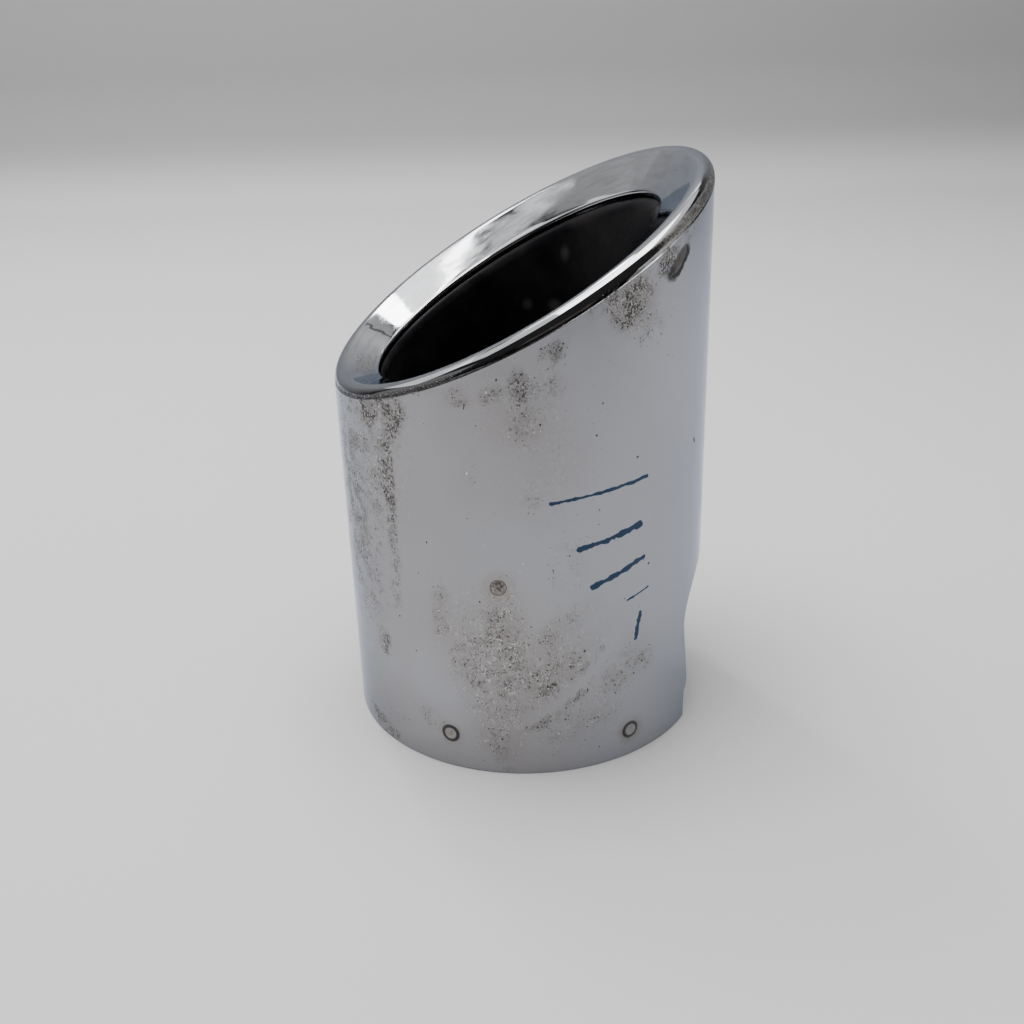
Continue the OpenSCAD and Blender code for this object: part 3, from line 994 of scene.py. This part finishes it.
chrome, black, steel, floor_pale = chrome_material(), sleeve_material(), steel_material(), floor_material()
skins = ((shell, chrome, "shell_chrome", "outer_shell"), (sleeve, black, "sleeve_black", "inner_sleeve"))
for obj, mat, slot, node in skins:
    dress(obj, mat)
    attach(obj, "root")
    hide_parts(node)

for name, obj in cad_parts.items():
    if "bracket" in name:
        dress(obj, steel)

ring_disc = mark_disc("ring_disc", RING_PROFILE, RING_REACH, RING_RIPPLE)
marks_on_wall("weld_rings", ring_disc, chrome, RING_SPOTS)
nugget_disc = mark_disc("nugget_disc", NUGGET_PROFILE, NUGGET_REACH, NUGGET_RIPPLE)
marks_on_wall("weld_nuggets", nugget_disc, nugget_material(), [NUGGET_SPOT])


# The camera's place in metres, its heading, its tilt downwards, its roll and its lens
CAM_PLACE = Vector((-0.073406, -0.303544, 0.195767))
CAM_HEADING = math.radians(12.953)
CAM_DOWN = math.radians(24.42)
CAM_ROLL = math.radians(1.76)
CAM_LENS = 42.2
CAM_SENSOR = 36


# Backdrop that runs from the floor up into a wall behind the tip, square to the camera's heading

def backdrop():
    front, fold, bend, top, half = -680.0, 810.0, 110.0, 1500.0, 1900.0
    line = [(s, 0.0) for s in np.linspace(front, fold, 8)]
    turns = np.linspace(0, math.pi / 2, 25)[1:]
    line += [(fold + bend * math.sin(t), bend - bend * math.cos(t)) for t in turns]
    line += [(fold + bend, top)]
    along = np.array([math.sin(CAM_HEADING), math.cos(CAM_HEADING), 0])
    across = np.array([math.cos(CAM_HEADING), -math.sin(CAM_HEADING), 0])
    points = [along * s + across * side + np.array([0, 0, z]) for s, z in line for side in (-half, half)]
    faces = [(2 * i, 2 * i + 1, 2 * i + 3, 2 * i + 2) for i in range(len(line) - 1)]
    obj = mesh_of("floor", points, faces, ROUND_SHARP)
    obj.data.materials.append(floor_pale)


backdrop()


# Lights, in metres and degrees

AMBIENT = 0.04
MOUTH = (0, 0, 0.12)
FAR_RIM = (-0.02, 0.036, 0.114)


def toward(heading, elevation, distance, seen_from=MOUTH):
    """A place seen from a point at a heading from +Y towards +X and an elevation."""
    h, e = math.radians(heading), math.radians(elevation)
    way = Vector((math.sin(h) * math.cos(e), math.cos(h) * math.cos(e), math.sin(e)))
    return way * distance + Vector(seen_from)


def area_light(name, place, target, width, height, level, color=(1, 1, 1)):
    """A soft light; level is how bright its face looks."""
    data = bpy.data.lights.new(name, "AREA")
    data.shape = "RECTANGLE"
    data.size, data.size_y = width, height
    data.energy = level * width * height * math.pi
    data.color = color
    obj = bpy.data.objects.new(name, data)
    obj.location = place
    obj.rotation_mode = "QUATERNION"
    obj.rotation_quaternion = (Vector(target) - Vector(place)).to_track_quat("-Z", "Y")
    link(obj)


area_light("overhead_light", (-0.28, 0.10, 1.06), (-0.28, 0.10, 0), 1.8, 0.93, 1.45)
area_light("crest_light", (-0.06, 0.01, 1.05), (-0.06, 0.01, 0), 0.72, 0.60, 8.4)
area_light("wall_light", (0.05, 0.57, 1.25), (-0.15, 1.03, 1.10), 2.4, 0.20, 8.0)
area_light("left_light", toward(-60, 33, 1.2), MOUTH, 0.80, 0.46, 1.5)
area_light("left_low_light", toward(-88, 12, 1.3), MOUTH, 1.4, 0.70, 0.28)
area_light("front_low_light", toward(-176, 7, 1.3), MOUTH, 1.0, 0.34, 0.2, (1.0, 0.8, 0.72))
area_light("right_light", toward(118, 4, 1.2), MOUTH, 0.80, 0.40, 1.5)

# Bright windows that the far side of the funnel mirrors: first and last heading, elevation, height, level
WINDOWS = (
    ("window_left", -8.6, -16.8, 56.0, 0.30, 25.0),
    ("window_middle", -16.8, -26.5, 55.5, 0.30, 4.4),
    ("window_right", -26.5, -28.7, 53.0, 0.30, 17.0),
    ("window_strip", -30.6, -33.0, 52.0, 0.26, 1.6),
    ("window_end", -33.0, -48.0, 57.0, 0.26, 3.0),
    ("window_haze", -27.0, -38.0, 40.5, 0.28, 0.14),
    ("window_veil", -17.0, -38.0, 38.5, 0.34, 0.12),
)
for name, first, last, elevation, height, level in WINDOWS:
    width = 2 * math.tan(math.radians(first - last) / 2) * math.cos(math.radians(elevation))
    area_light(name, toward((first + last) / 2, elevation, 1.0, FAR_RIM), FAR_RIM, width, height, level)

world = bpy.data.worlds.new("studio")
world.use_nodes = True
background = world.node_tree.nodes["Background"]
background.inputs["Color"].default_value = rgb((1.0, 1.0, 1.0))
background.inputs["Strength"].default_value = AMBIENT
bpy.context.scene.world = world


# Camera at the photograph's viewing angle

def photo_camera():
    level_way = Vector((math.sin(CAM_HEADING), math.cos(CAM_HEADING), 0))
    forward = math.cos(CAM_DOWN) * level_way - Vector((0, 0, math.sin(CAM_DOWN)))
    level_right = Vector((math.cos(CAM_HEADING), -math.sin(CAM_HEADING), 0))
    below = forward.cross(level_right)
    right = math.cos(CAM_ROLL) * level_right + math.sin(CAM_ROLL) * below
    up = math.sin(CAM_ROLL) * level_right - math.cos(CAM_ROLL) * below
    data = bpy.data.cameras.new("photo_camera")
    data.sensor_width = CAM_SENSOR
    data.lens = CAM_LENS
    data.clip_start = 0.01
    data.dof.use_dof = False
    obj = bpy.data.objects.new("photo_camera", data)
    turned = Matrix((right, up, -forward)).transposed().to_4x4()
    turned.translation = CAM_PLACE
    obj.matrix_world = turned
    bpy.context.scene.camera = link(obj)


photo_camera()
